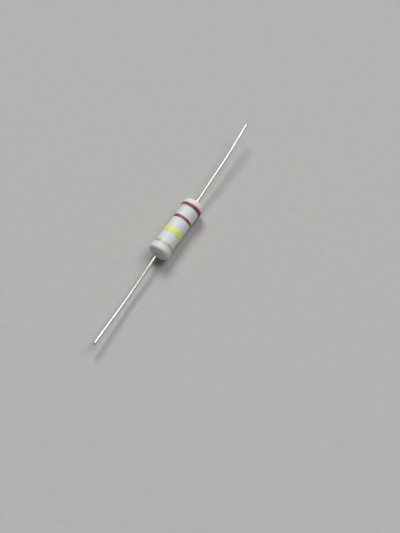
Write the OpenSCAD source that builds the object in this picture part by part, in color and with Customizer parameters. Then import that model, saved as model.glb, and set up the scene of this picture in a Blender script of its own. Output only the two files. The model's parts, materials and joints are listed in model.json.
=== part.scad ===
// Axial film resistor of the 5 mm by 16 mm size.
// A ceramic rod carries a resistive film that a spiral cut trims to value. A drawn steel cap is
// pressed over each end, a tinned wire lead is butt-welded to each cap, and a lacquer coat seals
// the lot except the leads. Four painted bands go round the coat.
// The body lies along X, with its first band towards +X. The origin is on the surface that the
// body lies on, under its middle. Sizes are in millimetres and angles in degrees.

/* [Ceramic rod] */
// Length of the rod
rod_l = 14.85; // [10:0.05:30]
// Diameter of the rod
rod_d = 4.15; // [3:0.05:6]
// Chamfer round each end of the rod
rod_chamfer = 0.15; // [0.05:0.05:0.3]

/* [Resistive film] */
// Thickness of the film
film_t = 0.05; // [0.04:0.01:0.1]
// Width of the spiral cut
cut_w = 0.25; // [0.1:0.05:0.4]
// Turns of the spiral cut
cut_turns = 4; // [2:1:6]
// Whole film left between each cap and the spiral cut
cut_margin = 0.8; // [0.4:0.1:1.5]

/* [End caps] */
// Thickness of the caps' steel
cap_wall = 0.3; // [0.2:0.05:0.5]
// Length of each cap over all
cap_l = 1.85; // [1.5:0.05:3.5]
// Outer radius round each cap's closed end
cap_round = 0.5; // [0.2:0.05:0.5]

/* [Lacquer coat] */
// Thickness of the coat on the rod and on the caps' sides
coat_t = 0.25; // [0.15:0.05:0.5]
// Thickness of the coat on the caps' closed ends
coat_end_t = 0.2; // [0.1:0.05:0.5]
// Radius round each end of the coat
coat_round = 0.9; // [0.4:0.05:0.9]
// Length over which the coat drops from a cap to the rod
coat_drop = 0.6; // [0.3:0.05:1]
// How far the coat climbs up each lead
collar_l = 0.6; // [0.3:0.05:1]
// Thickness of the coat at the top of that climb
collar_t = 0.06; // [0.04:0.01:0.1]

/* [Colour bands] */
// Thickness of the bands' paint
band_t = 0.04; // [0.03:0.01:0.08]
// Width of the first band, red
first_band_w = 0.75; // [0.5:0.05:1.5]
// Width of the second band, red
second_band_w = 0.75; // [0.5:0.05:1.5]
// Width of the third band, yellow
third_band_w = 1.3; // [0.5:0.05:1.5]
// Width of the fourth band, gold
fourth_band_w = 0.8; // [0.5:0.05:1.5]
// From the first band's end of the body to the middle of the first band
first_band_at = 1.85; // [1.2:0.05:2.5]
// From the middle of the first band to the second's, and from the third's to the fourth's
band_pitch = 3.75; // [2.5:0.05:4.1]
// From the middle of the second band to the middle of the third
middle_band_pitch = 4.05; // [2.5:0.05:4.5]

/* [Leads] */
// Diameter of the wire
lead_d = 0.65; // [0.5:0.05:0.9]
// Length of the gold end's lead from its cap, measured along the wire
lead_l = 26; // [23:0.05:40]
// How much shorter the red end's lead is cut
red_lead_short = 0.25; // [0:0.05:1]
// Straight wire between the coat's climb up each lead and the first bend
lead_stub_l = 0.3; // [0.2:0.1:1.3]
// Straight wire at each tip
lead_end_l = 8; // [5:0.5:12]
// Radius of the small bend beside the body
near_bend_r = 5; // [3:0.5:10]
// Radius of the long bend
far_bend_r = 80; // [60:5:110]
// Angle of the small bend in the gold end's lead
gold_near_bend = 4.1; // [1:0.1:6]
// Way the small bend in the gold end's lead turns, from straight up towards +Y
gold_near_way = -146; // [-180:1:180]
// Angle of the long bend in the gold end's lead
gold_far_bend = 7.6; // [1:0.1:8]
// Way the long bend in the gold end's lead turns, from straight up towards +Y
gold_far_way = 3; // [-180:1:180]
// Angle of the small bend in the red end's lead
red_near_bend = 5.6; // [1:0.1:6]
// Way the small bend in the red end's lead turns, from straight up towards +Y
red_near_way = 15; // [-180:1:180]
// Angle of the long bend in the red end's lead
red_far_bend = 2.4; // [1:0.1:8]
// Way the long bend in the red end's lead turns, from straight up towards +Y
red_far_way = 90; // [-180:1:180]
// How far towards -Y of the middle the red end's lead is welded
red_weld_offset = 0.1; // [0:0.05:0.3]
// Diameter of the weld where each lead meets its cap
weld_d = 0.95; // [0.9:0.05:1.2]
// Length over which each weld narrows to the wire
weld_l = 0.18; // [0.1:0.02:0.3]
// Slope of the cut across each tip
tip_slope = 22; // [5:1:40]

/* [Hidden] */
$fn = 96;

ROUND_STEPS = 12;   // straight steps in each rounded stretch of an outline
WIRE_FN = 32;
DRAW_DOWN = 0.002;  // how much a bend thins the wire's radius, so that it starts from a flat step
LAP = 0.02;         // how far the straight wire runs on into each bend
PAST = 0.3;         // how far a cutting tool runs past what it cuts
DROP_ON_ROD = 0.75; // share of the coat's drop that lies on the rod's side of a cap's rim

film_r = rod_d / 2 + film_t;
cap_r = film_r + cap_wall;
waist_r = film_r + coat_t;
shoulder_r = cap_r + coat_t;
axis_z = shoulder_r + band_t;
cap_end_x = rod_l / 2 + cap_wall;
cap_rim_x = cap_end_x - cap_l;
body_end_x = cap_end_x + coat_end_t;
cut_l = 2 * (cap_rim_x - cut_margin) - cut_w;
foot_l = coat_end_t + collar_l + lead_stub_l;
tip_l = lead_d * tan(tip_slope);

first_band_x = body_end_x - first_band_at;
second_band_x = first_band_x - band_pitch;
third_band_x = second_band_x - middle_band_pitch;
fourth_band_x = third_band_x - band_pitch;

// Points along an arc, from angle a to angle b round [x, y]
function arc(x, y, r, a, b) =
    [for (i = [0 : ROUND_STEPS]) let (t = a + (b - a) * i / ROUND_STEPS) [x + r * cos(t), y + r * sin(t)]];

// Half of the coat's outline as [radius, distance from the middle], each radius larger by grow:
// the drop at the cap is half a cosine wave, and the end is rounded.
function coat_half(grow) = concat(
    [for (i = [0 : ROUND_STEPS]) let (t = i / ROUND_STEPS, rise = (1 - cos(180 * t)) / 2)
        [waist_r + grow + (shoulder_r - waist_r) * rise, cap_rim_x + (t - DROP_ON_ROD) * coat_drop]],
    arc(shoulder_r + grow - coat_round, body_end_x - coat_round, coat_round, 0, 90)
);

function flipped(points) = [for (i = [len(points) - 1 : -1 : 0]) [points[i][0], -points[i][1]]];

// Turns what is drawn as [radius, distance along the axis] round the body's axis
module turned() {
    translate([0, 0, axis_z]) rotate([0, 90, 0]) rotate_extrude() children();
}

module coat_outline(grow = 0) {
    half = coat_half(grow);
    polygon(concat([[0, -body_end_x]], flipped(half), half, [[0, body_end_x]]));
}

module ceramic_rod() {
    color("linen") turned() polygon([
        [0, -rod_l / 2], [rod_d / 2 - rod_chamfer, -rod_l / 2], [rod_d / 2, rod_chamfer - rod_l / 2],
        [rod_d / 2, rod_l / 2 - rod_chamfer], [rod_d / 2 - rod_chamfer, rod_l / 2], [0, rod_l / 2]
    ]);
}

// The spiral cut: each half turn is a leaning slot through one side of the film, and each slot
// starts where the one before it ends
module spiral_cut() {
    half_pitch = cut_l / cut_turns / 2;
    lean = atan(half_pitch / (2 * film_r));
    reach = film_r + PAST;
    for (i = [0 : 2 * cut_turns - 1]) {
        side = i % 2 == 0 ? 1 : -1;
        translate([(i + 0.5) * half_pitch - cut_l / 2, 0, axis_z]) mirror([0, side < 0 ? 1 : 0, 0])
            rotate([0, -side * lean, 0]) translate([-cut_w / 2, -cut_w / 2, -reach])
                cube([cut_w, reach + cut_w / 2, 2 * reach]);
    }
}

module resistive_film() {
    film_l = rod_l - 2 * rod_chamfer;
    color("darkslategray") difference() {
        turned() translate([rod_d / 2, -film_l / 2]) square([film_t, film_l]);
        spiral_cut();
    }
}

// The space that a cap and what it is pressed over fill, as [radius, distance from the middle]
function cap_half() = concat(
    [[0, cap_rim_x], [cap_r, cap_rim_x]],
    arc(cap_r - cap_round, cap_end_x - cap_round, cap_round, 0, 90),
    [[0, cap_end_x]]
);

module end_cap(side) {
    color("silver") mirror([side < 0 ? 1 : 0, 0, 0]) turned() difference() {
        polygon(cap_half());
        translate([0, cap_rim_x - PAST]) square([film_r, rod_l / 2 - cap_rim_x + PAST]);
    }
}

// Straight wire from the origin along +X, which runs past each end that a bend joins
module straight(length, before = LAP, after = LAP) {
    translate([-before, 0, 0]) rotate([0, 90, 0])
        cylinder(h = before + length + after, d = lead_d, $fn = WIRE_FN);
}

// Wire from the origin along +X. Each run is [straight length, bend's angle, bend's radius, way it
// turns], one run follows another, and a run with no bend is the tip.
module wire(runs, at = 0) {
    run = runs[at];
    if (run[1] > 0) {
        straight(run[0], at > 0 ? LAP : 0);
        translate([run[0], 0, 0]) rotate([-run[3], 0, 0]) {
            translate([0, 0, run[2]]) rotate([90, 90, 0]) rotate_extrude(angle = run[1])
                translate([run[2], 0]) circle(d = lead_d - 2 * DRAW_DOWN, $fn = WIRE_FN);
            translate([run[2] * sin(run[1]), 0, run[2] * (1 - cos(run[1]))])
                rotate([0, -run[1], 0]) rotate([run[3], 0, 0]) wire(runs, at + 1);
        }
    }
    else
        tip(run[0]);
}

// The straight wire at a tip, with its slanting cut past the straight length
module tip(length) {
    difference() {
        straight(length, LAP, tip_l);
        translate([length + tip_l, 0, -lead_d / 2]) rotate([0, -tip_slope, 0])
            translate([0, -lead_d, -PAST]) cube([lead_d, 2 * lead_d, 2 * lead_d]);
    }
}

function bend_length(angle, radius) = angle * PI / 180 * radius;

// What a lead fills at its foot, from the cap out to past the coat's collar
module lead_foot() {
    rotate([0, 90, 0]) cylinder(h = weld_l, d1 = weld_d, d2 = lead_d, $fn = WIRE_FN);
    straight(foot_l, 0);
}

// Puts a lead's own frame, with its foot at the origin and its wire along +X, on the cap
module on_cap(side, offset) {
    mirror([side < 0 ? 1 : 0, 0, 0]) translate([cap_end_x, -offset, axis_z]) children();
}

module lead(length, near_bend, near_way, far_bend, far_way) {
    mid_l = length - foot_l - lead_end_l - tip_l
        - bend_length(near_bend, near_bend_r) - bend_length(far_bend, far_bend_r);
    lead_foot();
    wire([
        [foot_l, near_bend, near_bend_r, near_way],
        [mid_l, far_bend, far_bend_r, far_way],
        [lead_end_l, 0]
    ]);
}

module gold_end_lead() {
    color("gainsboro") on_cap(-1, 0)
        lead(lead_l, gold_near_bend, gold_near_way, gold_far_bend, gold_far_way);
}

module red_end_lead() {
    color("gainsboro") on_cap(1, red_weld_offset)
        lead(lead_l - red_lead_short, red_near_bend, red_near_way, red_far_bend, red_far_way);
}

// The coat's climb up a lead: a hollow fillet that ends in a thin edge
module collar() {
    top_r = lead_d / 2 + collar_t;
    translate([coat_end_t, 0, 0]) rotate([0, 90, 0]) rotate_extrude() polygon(concat(
        [[0, -coat_end_t / 2], [top_r + collar_l, -coat_end_t / 2]],
        arc(top_r + collar_l, collar_l, collar_l, 270, 180),
        [[0, collar_l]]
    ));
}

module lacquer_coat() {
    color("lightsteelblue") difference() {
        union() {
            turned() coat_outline();
            on_cap(-1, 0) collar();
            on_cap(1, red_weld_offset) collar();
        }
        turned() {
            polygon(cap_half());
            polygon(flipped(cap_half()));
            translate([0, -cap_rim_x - PAST]) square([film_r, 2 * (cap_rim_x + PAST)]);
        }
        on_cap(-1, 0) lead_foot();
        on_cap(1, red_weld_offset) lead_foot();
    }
}

// A painted ring that follows the coat's surface, its middle at x
module band(x, width) {
    turned() intersection() {
        difference() {
            coat_outline(band_t);
            coat_outline();
        }
        translate([0, x - width / 2]) square([2 * shoulder_r, width]);
    }
}

module first_red_band() { color("firebrick") band(first_band_x, first_band_w); }
module second_red_band() { color("firebrick") band(second_band_x, second_band_w); }
module yellow_band() { color("khaki") band(third_band_x, third_band_w); }
module gold_band() { color("tan") band(fourth_band_x, fourth_band_w); }

ceramic_rod();
resistive_film();
end_cap(-1);  // gold_end_cap
end_cap(1);  // red_end_cap
gold_end_lead();
red_end_lead();
lacquer_coat();
first_red_band();
second_red_band();
yellow_band();
gold_band();
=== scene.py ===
"""Looks of a lacquered axial film resistor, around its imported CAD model.

The body lies along X on the plane z = 0, with its first band towards +X. Lengths are millimetres in
the frame's own axes, and become Blender's metres where a mesh or the camera is made. A turn is an
angle round the body's axis, in radians from +Y towards +Z.
"""

import json
import math

import bpy
from mathutils import Matrix, Vector


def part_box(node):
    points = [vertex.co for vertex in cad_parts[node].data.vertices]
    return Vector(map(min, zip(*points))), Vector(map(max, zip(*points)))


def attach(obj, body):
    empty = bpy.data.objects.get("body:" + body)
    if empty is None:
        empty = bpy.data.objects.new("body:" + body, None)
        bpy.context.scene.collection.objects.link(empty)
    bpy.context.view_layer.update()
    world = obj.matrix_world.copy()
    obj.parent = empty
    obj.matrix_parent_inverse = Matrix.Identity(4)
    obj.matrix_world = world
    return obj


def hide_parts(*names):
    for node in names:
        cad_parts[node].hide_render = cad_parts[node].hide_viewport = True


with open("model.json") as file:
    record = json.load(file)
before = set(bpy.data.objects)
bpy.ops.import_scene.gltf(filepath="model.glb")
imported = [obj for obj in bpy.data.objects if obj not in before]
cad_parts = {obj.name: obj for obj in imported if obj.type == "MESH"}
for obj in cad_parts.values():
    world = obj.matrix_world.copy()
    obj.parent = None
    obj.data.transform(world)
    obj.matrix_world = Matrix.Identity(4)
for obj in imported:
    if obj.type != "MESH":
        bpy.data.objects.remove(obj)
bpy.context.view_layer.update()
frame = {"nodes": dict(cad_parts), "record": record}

MM = 0.001
FULL_TURN = 2 * math.pi
RIGHT_ANGLE = math.pi / 2


def box_mm(node):
    """A CAD node's lowest and highest corner."""
    low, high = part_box(node)
    return low / MM, high / MM


def radius_mm(node):
    """Half of a CAD node's width along Y."""
    low, high = box_mm(node)
    return (high.y - low.y) / 2


def smooth(t):
    """From 0 to 1 as t does, level at both ends."""
    t = min(1.0, max(0.0, t))
    return t * t * (3 - 2 * t)


def steps(start, end, count):
    """count evenly spaced values after start, the last of them end."""
    return [start + (end - start) * i / count for i in range(1, count + 1)]


# ---------------------------------------------------------------- sizes that the frame gives
cap_low, cap_high = box_mm("red_end_cap")
AXIS_Z = (cap_low.z + cap_high.z) / 2
CAP_RIM_X = cap_low.x
CAP_END_X = cap_high.x
CAP_R = radius_mm("red_end_cap")
FILM_R = radius_mm("resistive_film")
SHOULDER_R = radius_mm("lacquer_coat")
COAT_T = SHOULDER_R - CAP_R
WAIST_R = FILM_R + COAT_T
COAT_TOP_X = box_mm("lacquer_coat")[1].x
tip_mounts = {mount["name"]: mount for mount in frame["record"]["mounts"]}
tip_size = tip_mounts["red_end_lead_tip"]["dims"]
WIRE_R = tip_size["r_mm"]
TIP_STRAIGHT_L = tip_size["length_mm"]

# The frame doesn't carry the sizes of the collar, the rounds, the drop, the weld, the leads and
# their bends, so those below repeat the CAD model's own.
# ---------------------------------------------------------------- the lacquer
AROUND = 224  # steps round the body
COLLAR_L = 0.6  # how far the lacquer climbs up each lead
COLLAR_T = 0.06  # its thickness at the top of that climb
BODY_END_X = COAT_TOP_X - COLLAR_L
END_ROUND = 0.9  # radius of the lacquer's rounded ends
FLAT_R = SHOULDER_R - END_ROUND  # the flat of each end reaches from the collar out to here
COLLAR_FOOT_R = WIRE_R + COLLAR_T + COLLAR_L
CAP_ROUND = 0.5  # radius of a cap's own corner, under the lacquer
DROP_L = 0.6  # length over which the lacquer drops from a cap to the rod
DROP_ON_ROD = 0.75  # share of that drop on the rod's side of the cap's rim
DROP_START_X = CAP_RIM_X - DROP_ON_ROD * DROP_L
CAP_DIP = 0.03  # how much the lacquer thins along a cap, between the beads at its rim and corner
RIM_BEAD_L = 0.5  # length over which the bead at the rim thins
CORNER_BEAD_L = 0.7  # length over which it thickens again
CORNER_BEAD_X = BODY_END_X - 0.45  # where the bead at the corner is thickest
WAIST_STEPS = 22  # how many rings each part of the outline has, from the middle to a lead
DROP_STEPS = 14
SHOULDER_STEPS = 9
END_ROUND_STEPS = 14
FLAT_STEPS = 6
COLLAR_STEPS = 12
CAP_ROUND_STEPS = 6  # and on the cap's corner, inside
SAG = 0.022  # how much the lacquer's thickness varies as it flowed

# ---------------------------------------------------------------- the paint of the bands
PAINT_T = 0.034
PAINT_SINK = 0.012  # how far the paint's underside lies in the lacquer
PAINT_EDGE = 0.05  # width over which the paint rounds off
EDGE_PLACES = (0, 0.006, 0.02, PAINT_EDGE)  # how far in from an edge its rings lie
PAINT_STEPS = 12  # how many rings cross a band's top, from edge to edge
UNDERSIDE_STEPS = 8
BAND_LEAN_TURN = math.radians(205)  # where round the body the bands lean furthest towards +X
SEAM_TURN = math.radians(232)  # where each band's end laps its start
SEAM_HALF = 0.16  # half of the turn over which the lap shows
SEAM_WIDER = 0.04  # how much further each edge reaches at the lap
SEAM_THICKER = 0.35  # how much thicker the paint is there, as a share of PAINT_T

# ---------------------------------------------------------------- the leads
WIRE_AROUND = 40  # steps round the wire
WIRE_STEP = 0.5  # length between its rings where it runs straight
MIN_WIRE_STEPS = 4
BEND_STEPS = 14
WIRE_DIP = 0.003  # how far its surface, drawn and dipped, is out of round, either way from the mean
GOLD_LEAD_L = 26  # lengths from the cap, along the wire
RED_LEAD_L = 25.75
LEAD_FOOT_L = 1.1  # straight wire from the cap to the first bend
NEAR_BEND_R = 5  # radius of the bend close to the body
FAR_BEND_R = 80  # and of the slow one before the tip
WELD_R = 0.475  # the weld is a cone from this radius at the cap to the wire
WELD_L = 0.18
RED_WELD_Y = -0.1  # the red end's lead is welded off the body's axis
TIP_SLOPE = math.radians(22)  # slant of the cut
TIP_L = 2 * WIRE_R * math.tan(TIP_SLOPE)
TIP_DISH = 0.02  # how far the cut's face is dished inside its rim


# ---------------------------------------------------------------- meshes
def make_piece(name, rings, fans=()):
    """A piece from rings of points that are joined in order. With no fans, the last ring joins
    the first. With two points as fans, triangles round them close the first and last ring."""
    around = len(rings[0])
    verts = [point for ring in rings for point in ring]
    faces = []
    joins = len(rings) - 1 if fans else len(rings)
    for i in range(joins):
        a = i * around
        b = (i + 1) % len(rings) * around
        for j in range(around):
            k = (j + 1) % around
            faces.append((a + j, b + j, b + k, a + k))
    for middle, first in zip(fans, (0, (len(rings) - 1) * around)):
        verts.append(middle)
        for j in range(around):
            k = (j + 1) % around
            edge = (first + j, first + k) if first == 0 else (first + k, first + j)
            faces.append((*edge, len(verts) - 1))
    mesh = bpy.data.meshes.new(name)
    mesh.from_pydata([Vector(point) * MM for point in verts], [], faces)
    mesh.shade_smooth()
    piece = bpy.data.objects.new(name, mesh)
    bpy.context.scene.collection.objects.link(piece)
    return piece


def stand_for(piece, node, material):
    """Dresses a piece and puts it in a CAD node's place."""
    piece.data.materials.append(material)
    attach(piece, "root")
    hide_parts(node)


def sag(x, turn):
    """How far the lacquer lies below its full thickness: slow waves left as it flowed and cured."""
    waves = (
        0.30 * math.sin(2 * turn + 0.22 * x + 0.9)
        + 0.25 * math.sin(3 * turn - 0.35 * x + 2.1)
        + 0.25 * math.sin(turn + 0.95 * x + 4.0)
        + 0.20 * math.sin(5 * turn + 1.60 * x)
    )
    return SAG * (1 + waves) / 2


def coat_radius(x):
    """The radius of the lacquer's side at x, before it sags."""
    along = min(1.0, max(0.0, (abs(x) - DROP_START_X) / DROP_L))
    rise = (1 - math.cos(math.pi * along)) / 2
    dip = smooth((abs(x) - CAP_RIM_X) / RIM_BEAD_L)
    dip *= smooth((CORNER_BEAD_X - abs(x)) / CORNER_BEAD_L)
    return WAIST_R + (SHOULDER_R - WAIST_R) * rise - CAP_DIP * dip


def body_ring(radius, x, sagging=0.0):
    """A ring of points at x. The narrow ones at the red end go round its lead's own middle."""
    centre_y = RED_WELD_Y * smooth((FLAT_R - radius) / (FLAT_R - COLLAR_FOOT_R)) if x > 0 else 0.0
    ring = []
    for turn in steps(0, FULL_TURN, AROUND):
        r = radius - sagging * sag(x, turn)
        ring.append((x, centre_y + r * math.cos(turn), AXIS_Z + r * math.sin(turn)))
    return ring


def outer_half():
    """The lacquer's outer outline from the middle to a lead, as (radius, distance along X)."""
    round_x = BODY_END_X - END_ROUND
    side = steps(0, DROP_START_X, WAIST_STEPS)
    side += steps(DROP_START_X, DROP_START_X + DROP_L, DROP_STEPS)
    side += steps(DROP_START_X + DROP_L, round_x, SHOULDER_STEPS)
    points = [(coat_radius(x), x) for x in side]
    corner_r = coat_radius(round_x) - END_ROUND
    points += [
        (corner_r + END_ROUND * math.cos(a), round_x + END_ROUND * math.sin(a))
        for a in steps(0, RIGHT_ANGLE, END_ROUND_STEPS)
    ]
    points += [(r, BODY_END_X) for r in steps(corner_r, COLLAR_FOOT_R, FLAT_STEPS)]
    points += [
        (COLLAR_FOOT_R - COLLAR_L * math.sin(a), COAT_TOP_X - COLLAR_L * math.cos(a))
        for a in steps(0, RIGHT_ANGLE, COLLAR_STEPS)
    ]
    return points


def inner_half():
    """The lacquer's inner outline from a lead to the middle, round the weld, cap and film."""
    corner_r = CAP_R - CAP_ROUND
    corner_x = CAP_END_X - CAP_ROUND
    corner = [
        (corner_r + CAP_ROUND * math.cos(a), corner_x + CAP_ROUND * math.sin(a))
        for a in steps(RIGHT_ANGLE, 0, CAP_ROUND_STEPS)
    ]
    weld = [(WIRE_R, COAT_TOP_X), (WIRE_R, CAP_END_X + WELD_L), (WELD_R, CAP_END_X)]
    return weld + [(corner_r, CAP_END_X)] + corner + [(CAP_R, CAP_RIM_X), (FILM_R, CAP_RIM_X)]


def lacquer_shell(material):
    """The lacquer as one closed shell: its outline from lead to lead, then back inside."""

    def outer_ring(radius, x):
        return body_ring(radius, x, sagging=smooth((radius - FLAT_R) / (WAIST_R - FLAT_R)))

    outer = outer_half()
    inner = inner_half()
    rings = [outer_ring(r, -x) for r, x in reversed(outer)]
    rings += [outer_ring(coat_radius(0), 0)]
    rings += [outer_ring(r, x) for r, x in outer]
    rings += [body_ring(r, x) for r, x in inner]
    rings += [body_ring(r, -x) for r, x in reversed(inner)]
    piece = make_piece("lacquer_shell", rings)
    stand_for(piece, "lacquer_coat", material)


def stray(turn, seed):
    """How a band's edge wanders round the body, between about -1 and 1."""
    return (
        0.5 * math.sin(2 * turn + 1.7 * seed)
        + 0.3 * math.sin(5 * turn + 2.9 * seed)
        + 0.2 * math.sin(11 * turn + 4.1 * seed)
    )


def painted_ring(name, node, slot, material, lean, flare, ragged, seed):
    """A ring of paint on the lacquer. lean is how far it leans and flare how much wider it gets
    at BAND_LEAN_TURN, and ragged is how far its edges wander, in a way that seed picks."""
    low, high = box_mm(node)
    middle = (low.x + high.x) / 2
    edge = [(inwards, PAINT_T * math.sqrt(inwards / PAINT_EDGE)) for inwards in EDGE_PLACES]
    rings = []

    def add(share, inwards, lift):
        """Adds a ring. share is its way from the band's middle, 0, to an edge, -1 or 1. inwards is
        how far it is drawn back from there, and lift is its height over the lacquer."""
        ring = []
        for turn in steps(0, FULL_TURN, AROUND):
            swing = math.cos(turn - BAND_LEAN_TURN)
            seam = smooth(1 - abs(turn - SEAM_TURN) / SEAM_HALF)
            half = (high.x - low.x + flare * swing) / 2 + SEAM_WIDER * seam
            half += ragged * stray(turn, seed + (share > 0))
            side = math.copysign(1, share)
            x = middle + lean * swing + share * half - side * inwards
            raised = lift * (1 + SEAM_THICKER * seam) if lift > 0 else lift
            r = coat_radius(x) - sag(x, turn) + raised
            ring.append((x, r * math.cos(turn), AXIS_Z + r * math.sin(turn)))
        rings.append(ring)

    for inwards, lift in edge:
        add(-1, inwards, lift - PAINT_SINK * (inwards == 0))
    for share in steps(-1, 1, PAINT_STEPS)[:-1]:
        add(share, PAINT_EDGE * abs(share), PAINT_T)
    for inwards, lift in reversed(edge):
        add(1, inwards, lift - PAINT_SINK * (inwards == 0))
    for share in steps(1, -1, UNDERSIDE_STEPS)[:-1]:
        add(share, 0, -PAINT_SINK)
    stand_for(make_piece(name, rings), node, material)


def lead_places(foot, length, bends):
    """Where each ring of a lead goes, as (point, heading): the heading's x axis is the wire's own.
    Each bend is (angle, radius, way it turns), the way counted from straight up towards +Y."""
    middle_l = length - LEAD_FOOT_L - TIP_STRAIGHT_L - TIP_L - sum(a * r for a, r, _ in bends)
    at, heading = foot, Matrix.Identity(3)
    places = [(at, heading)]

    def go_straight(way_l):
        count = max(MIN_WIRE_STEPS, round(way_l / WIRE_STEP))
        for run in steps(0, way_l, count):
            places.append((at + heading @ Vector((run, 0, 0)), heading))
        return places[-1][0]

    for straight_l, (angle, radius, way) in zip((LEAD_FOOT_L, middle_l), bends):
        at = go_straight(straight_l)
        roll = Matrix.Rotation(-way, 3, "X")
        for part in steps(0, angle, BEND_STEPS):
            arc = Vector((radius * math.sin(part), 0, radius * (1 - math.cos(part))))
            turned = heading @ roll @ Matrix.Rotation(-part, 3, "Y") @ roll.inverted()
            places.append((at + heading @ roll @ arc, turned))
        at, heading = places[-1]
    go_straight(TIP_STRAIGHT_L + TIP_L)
    return places


def wire_ring(place, radius, gone, slanted=0.0):
    """A ring of a lead at a place, gone mm along the wire. slanted is 1 on the cut at its tip."""
    at, heading = place
    ring = []
    for turn in steps(0, FULL_TURN, WIRE_AROUND):
        dip = WIRE_DIP * (1 + math.sin(0.9 * gone + 2 * turn) * math.sin(2.3 * gone + turn))
        r = radius - dip
        point = Vector((0, r * math.cos(turn), r * math.sin(turn)))
        point.x = -slanted * TIP_L * (0.5 + point.z / (2 * WIRE_R))
        ring.append(at + heading @ point)
    return ring


def lead_wire(name, node, side, foot_y, length, bends, material):
    """A lead from its weld to the slanting cut at its tip, which is longest at its underside.
    side is 1 for the lead towards +X and -1 for the one towards -X, which is mirrored."""
    places = lead_places(Vector((CAP_END_X, foot_y, AXIS_Z)), length, bends)
    rings = [wire_ring(places[0], WELD_R, 0)]
    gone = 0.0
    for before, place in zip(places, places[1:]):
        gone += (place[0] - before[0]).length
        if gone > WELD_L and place is not places[-1]:
            rings.append(wire_ring(place, WIRE_R, gone))
    tip, heading = places[-1]
    rings.append(wire_ring(places[-1], WIRE_R, gone, slanted=1))
    rings.append(wire_ring(places[-1], WIRE_R - TIP_DISH, gone, slanted=1))
    dish = Vector((-TIP_L / 2 - TIP_DISH, 0, 0))
    fans = [places[0][0], tip + heading @ dish]
    mirror = Vector((side, 1, 1))
    rings = [[point * mirror for point in ring] for ring in rings]
    if side > 0:
        rings = [ring[::-1] for ring in rings]
    piece = make_piece(name, rings, [point * mirror for point in fans])
    stand_for(piece, node, material)


# ---------------------------------------------------------------- materials
def colour(red, green, blue):
    """A colour as the shader takes it, from screen values of 0 to 255."""
    parts = []
    for value in (red, green, blue):
        part = value / 255
        parts.append(part / 12.92 if part <= 0.04045 else ((part + 0.055) / 1.055) ** 2.4)
    return (*parts, 1.0)


class Finish:
    """A material, and short ways to add the nodes that its detail is made of. Places are in mm."""

    def __init__(self, name, **sockets):
        self.material = bpy.data.materials.new(name)
        self.material.use_nodes = True
        self.tree = self.material.node_tree
        self.shader = self.tree.nodes["Principled BSDF"]
        for socket, value in sockets.items():
            self.shader.inputs[socket.replace("_", " ")].default_value = value
        coordinates = self.tree.nodes.new("ShaderNodeTexCoord")
        self.place = self.scaled(coordinates.outputs["Object"], 1 / MM, 1 / MM, 1 / MM)

    def scaled(self, vector, x, y, z):
        node = self.tree.nodes.new("ShaderNodeMapping")
        node.inputs["Scale"].default_value = (x, y, z)
        self.tree.links.new(vector, node.inputs["Vector"])
        return node.outputs["Vector"]

    def noise(self, scale, detail=2.0, vector=None):
        node = self.tree.nodes.new("ShaderNodeTexNoise")
        node.inputs["Scale"].default_value = scale
        node.inputs["Detail"].default_value = detail
        self.tree.links.new(vector or self.place, node.inputs["Vector"])
        return node.outputs["Fac"]

    def spots(self, scale):
        """The distance to the nearest of many scattered points."""
        node = self.tree.nodes.new("ShaderNodeTexVoronoi")
        node.inputs["Scale"].default_value = scale
        self.tree.links.new(self.place, node.inputs["Vector"])
        return node.outputs["Distance"]

    def ranged(self, value, low, high, to_low=0.0, to_high=1.0):
        node = self.tree.nodes.new("ShaderNodeMapRange")
        limits = {"From Min": low, "From Max": high, "To Min": to_low, "To Max": to_high}
        for name, number in limits.items():
            node.inputs[name].default_value = number
        self.tree.links.new(value, node.inputs["Value"])
        return node.outputs["Result"]

    def stretched(self, noise, to_low=0.0, to_high=1.0, margin=0.3):
        """A noise's values crowd round a half, so this spreads margin to 1 - margin over a range."""
        return self.ranged(noise, margin, 1 - margin, to_low, to_high)

    def mixed(self, factor, first, second):
        """From first to second, each a colour or a node's output, as factor goes from 0 to 1."""
        node = self.tree.nodes.new("ShaderNodeMix")
        node.data_type = "RGBA"
        self.tree.links.new(factor, node.inputs["Factor"])
        sockets = [socket for socket in node.inputs if socket.type == "RGBA"]
        for socket, value in zip(sockets, (first, second)):
            if isinstance(value, tuple):
                socket.default_value = value
            else:
                self.tree.links.new(value, socket)
        return next(socket for socket in node.outputs if socket.type == "RGBA")

    def from_middle(self):
        """How far a point lies from the body's middle along X."""
        split = self.tree.nodes.new("ShaderNodeSeparateXYZ")
        self.tree.links.new(self.place, split.inputs["Vector"])
        node = self.tree.nodes.new("ShaderNodeMath")
        node.operation = "ABSOLUTE"
        self.tree.links.new(split.outputs["X"], node.inputs[0])
        return node.outputs["Value"]

    def bump(self, height, strength, depth, under=None):
        node = self.tree.nodes.new("ShaderNodeBump")
        node.inputs["Strength"].default_value = strength
        node.inputs["Distance"].default_value = depth * MM
        self.tree.links.new(height, node.inputs["Height"])
        if under:
            self.tree.links.new(under, node.inputs["Normal"])
        return node.outputs["Normal"]

    def give(self, socket, value):
        self.tree.links.new(value, self.shader.inputs[socket])


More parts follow.
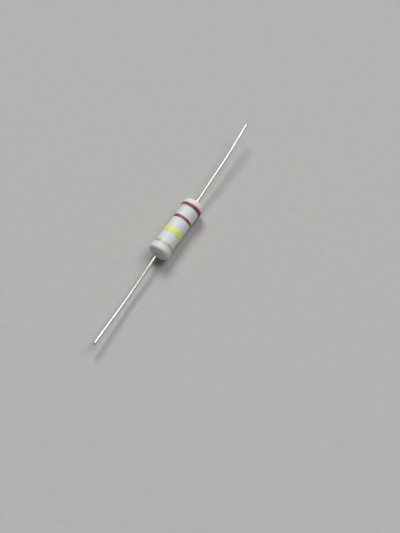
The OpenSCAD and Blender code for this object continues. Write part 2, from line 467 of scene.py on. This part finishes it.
def lacquer():
    """Pale blue-grey flameproof lacquer, matt to satin, with mottling, fine grain and small dark
    specks.
    """
    f = Finish("lacquer", Coat_Weight=0.08, Coat_Roughness=0.35)
    mottling = f.stretched(f.noise(0.55, 3), margin=0.35)
    on_rod = f.mixed(mottling, colour(206, 209, 215), colour(206, 214, 211))
    mottling = f.stretched(f.noise(0.6, 3), margin=0.35)
    on_cap = f.mixed(mottling, colour(211, 216, 209), colour(206, 212, 212))
    # The lacquer is a little warmer over the caps.
    over_cap = f.ranged(f.from_middle(), CAP_RIM_X - 0.4, CAP_RIM_X + 0.5)
    plain = f.mixed(over_cap, on_rod, on_cap)
    grain = f.mixed(f.stretched(f.noise(7, 4), 0, 0.12), plain, colour(150, 156, 162))
    # Small scattered specks, darker than the lacquer round them.
    dark_specks = f.ranged(f.spots(2.2), 0.03, 0.075, 1, 0)
    f.give("Base Color", f.mixed(dark_specks, grain, colour(132, 134, 136)))
    f.give("Roughness", f.stretched(f.noise(2.5, 4), 0.46, 0.62))
    peel = f.bump(f.noise(3.2, 2), 0.3, 0.02)
    f.give("Normal", f.bump(f.noise(14, 3), 0.25, 0.006, under=peel))
    return f.material


def paint(name, thick, thin, patchiness):
    """Band paint, thick in most places and thin where the lacquer shows through."""
    f = Finish(name, Coat_Weight=0.08, Coat_Roughness=0.35)
    worn = f.stretched(f.noise(1.5, 4), 0, patchiness, margin=0.36)
    grain = f.stretched(f.noise(9, 4), 0, 0.15)
    f.give("Base Color", f.mixed(grain, f.mixed(worn, thick, thin), thin))
    f.give("Roughness", f.stretched(f.noise(3, 4), 0.42, 0.56))
    f.give("Normal", f.bump(f.noise(6, 4), 0.3, 0.01))
    return f.material


def gold_paint():
    """Pale gold paint: fine metal flake in a clear binder, thin in places."""
    f = Finish("gold_paint", Metallic=0.5)
    worn = f.stretched(f.noise(2.2, 5), margin=0.35)
    flake = f.stretched(f.noise(24, 2), 0, 0.4, margin=0.35)
    base = f.mixed(worn, colour(172, 168, 144), colour(180, 178, 162))
    f.give("Base Color", f.mixed(flake, base, colour(180, 173, 144)))
    f.give("Roughness", f.stretched(f.noise(9, 4), 0.5, 0.66))
    f.give("Normal", f.bump(f.noise(12, 4), 0.25, 0.008))
    return f.material


def tinned():
    """Bright tinned wire, faintly lined where it was drawn, with a slow change of tone."""
    f = Finish("tinned_wire", Metallic=1.0)
    drawn = f.noise(1, 3, f.scaled(f.place, 0.2, 12, 12))
    dulled = f.stretched(f.noise(0.7, 4), margin=0.35)
    f.give("Base Color", f.mixed(dulled, colour(212, 210, 203), colour(194, 192, 187)))
    f.give("Roughness", f.stretched(drawn, 0.34, 0.46))
    f.give("Normal", f.bump(drawn, 0.12, 0.004))
    return f.material


def plated_steel():
    """Drawn steel with a thin bright plating, for the caps."""
    f = Finish("plated_steel", Metallic=1.0)
    drawn = f.noise(1, 3, f.scaled(f.place, 2, 9, 9))
    tone = f.mixed(f.stretched(drawn), colour(196, 194, 188), colour(170, 168, 164))
    f.give("Base Color", tone)
    f.give("Roughness", f.stretched(drawn, 0.28, 0.45))
    return f.material


def alumina():
    """Fired off-white ceramic, for the rod."""
    f = Finish("alumina")
    tone = f.mixed(f.stretched(f.noise(3, 5)), colour(232, 228, 218), colour(216, 210, 198))
    f.give("Base Color", tone)
    f.give("Roughness", f.stretched(f.noise(8, 4), 0.6, 0.8))
    f.give("Normal", f.bump(f.noise(16, 3), 0.3, 0.008))
    return f.material


def oxide():
    """The dark resistive film."""
    f = Finish("oxide_film", Metallic=0.3)
    tone = f.mixed(f.stretched(f.noise(2, 4)), colour(62, 66, 70), colour(44, 48, 54))
    f.give("Base Color", tone)
    f.give("Roughness", f.stretched(f.noise(6, 4), 0.3, 0.45))
    return f.material


def floor_finish():
    """A plain pale matt table top."""
    f = Finish("pale_floor")
    tone = f.mixed(f.stretched(f.noise(0.6, 5)), colour(176, 175, 172), colour(172, 171, 168))
    f.give("Base Color", tone)
    f.give("Roughness", f.stretched(f.noise(1.5, 4), 0.75, 0.9))
    f.give("Normal", f.bump(f.noise(2.2, 4), 0.1, 0.04))
    return f.material


def dress_inner_pieces():
    """Gives the CAD pieces inside the lacquer their finish."""
    steel = plated_steel()
    finishes = {
        "ceramic_rod": alumina(),
        "resistive_film": oxide(),
        "gold_end_cap": steel,
        "red_end_cap": steel,
    }
    for node, material in finishes.items():
        materials = frame["nodes"][node].data.materials
        materials.clear()
        materials.append(material)


# ---------------------------------------------------------------- floor, light and camera
FLOOR_HALF = 10000
WALL_TOP = 0.1  # the walls keep their tone up to this height, where 0 is level and 1 overhead
CEILING_FOOT = 0.4  # from this height up, all is ceiling
NEAR_LIMIT = 5  # the camera sees nothing nearer than this


def floor(material):
    corners = [(x * FLOOR_HALF, y * FLOOR_HALF, 0) for x, y in ((-1, -1), (1, -1), (1, 1), (-1, 1))]
    mesh = bpy.data.meshes.new("floor")
    mesh.from_pydata([Vector(corner) * MM for corner in corners], [], [(0, 1, 2, 3)])
    mesh.materials.append(material)
    piece = bpy.data.objects.new("floor", mesh)
    bpy.context.scene.collection.objects.link(piece)


def soft_sun(name, towards, spread, strength):
    """A wide, distant light that stands in the direction towards."""
    light = bpy.data.lights.new(name, "SUN")
    light.angle = math.radians(spread)
    light.energy = strength
    lamp = bpy.data.objects.new(name, light)
    lamp.rotation_euler = Vector(towards).to_track_quat("Z", "Y").to_euler()
    bpy.context.scene.collection.objects.link(lamp)


def pale_surroundings():
    """A dim room whose walls are pale up to a little above the horizon."""
    world = bpy.data.worlds.new("room")
    world.use_nodes = True
    nodes = world.node_tree.nodes
    links = world.node_tree.links
    split = nodes.new("ShaderNodeSeparateXYZ")
    links.new(nodes.new("ShaderNodeTexCoord").outputs["Generated"], split.inputs["Vector"])
    ramp = nodes.new("ShaderNodeValToRGB")
    links.new(split.outputs["Z"], ramp.inputs["Fac"])
    walls, ceiling = ramp.color_ramp.elements
    walls.position = WALL_TOP
    walls.color = (0.48, 0.49, 0.50, 1)
    ceiling.position = CEILING_FOOT
    ceiling.color = (0.10, 0.105, 0.11, 1)
    links.new(ramp.outputs["Color"], nodes["Background"].inputs["Color"])
    bpy.context.scene.world = world


def camera(azimuth, elevation, target, distance, lens):
    """A camera that looks at target from distance, azimuth degrees round from -Y towards -X and
    elevation degrees above the horizon."""
    a = math.radians(azimuth)
    e = math.radians(elevation)
    back = Vector((-math.sin(a) * math.cos(e), -math.cos(a) * math.cos(e), math.sin(e)))
    data = bpy.data.cameras.new("camera")
    data.lens = lens
    data.clip_start = NEAR_LIMIT * MM
    eye = bpy.data.objects.new("camera", data)
    eye.location = (Vector(target) + back * distance) * MM
    eye.rotation_euler = (-back).to_track_quat("-Z", "Y").to_euler()
    bpy.context.scene.collection.objects.link(eye)
    bpy.context.scene.camera = eye


# ---------------------------------------------------------------- the model
# The camera's target is on the floor beside the body, which lies above the picture's middle.
camera(azimuth=57.28, elevation=63.83, target=(-4.16, -9.268, 0), distance=164.3, lens=47.75)
soft_sun("key", towards=(0.68, 0.58, 1), spread=24, strength=2.1)
soft_sun("fill", towards=(0.62, -0.32, 1), spread=36, strength=1.5)
pale_surroundings()
bpy.context.scene.view_settings.view_transform = "Standard"
floor(floor_finish())

lacquer_shell(lacquer())
red = paint("red_paint", colour(138, 24, 34), colour(166, 60, 66), patchiness=0.6)
yellow = paint("yellow_paint", colour(214, 217, 42), colour(218, 222, 124), patchiness=0.8)
gold = gold_paint()
bands = (  # piece, node, slot, material, lean, flare, ragged, seed
    ("first_red_ring", "first_red_band", "red_paint", red, 0.0, 0.15, 0.03, 0.7),
    ("second_red_ring", "second_red_band", "red_paint", red, 0.02, -0.12, 0.02, 2.2),
    ("yellow_ring", "yellow_band", "yellow_paint", yellow, 0.09, 0.12, 0.06, 4.6),
    ("gold_ring", "gold_band", "gold_paint", gold, -0.03, -0.1, 0.05, 1.4),
)
for band in bands:
    painted_ring(*band)

wire = tinned()
gold_bends = [
    (math.radians(4.1), NEAR_BEND_R, math.radians(-146)),
    (math.radians(7.6), FAR_BEND_R, math.radians(3)),
]
red_bends = [
    (math.radians(5.6), NEAR_BEND_R, math.radians(15)),
    (math.radians(2.4), FAR_BEND_R, math.radians(90)),
]
lead_wire("gold_end_wire", "gold_end_lead", -1, 0, GOLD_LEAD_L, gold_bends, wire)
lead_wire("red_end_wire", "red_end_lead", 1, RED_WELD_Y, RED_LEAD_L, red_bends, wire)
dress_inner_pieces()
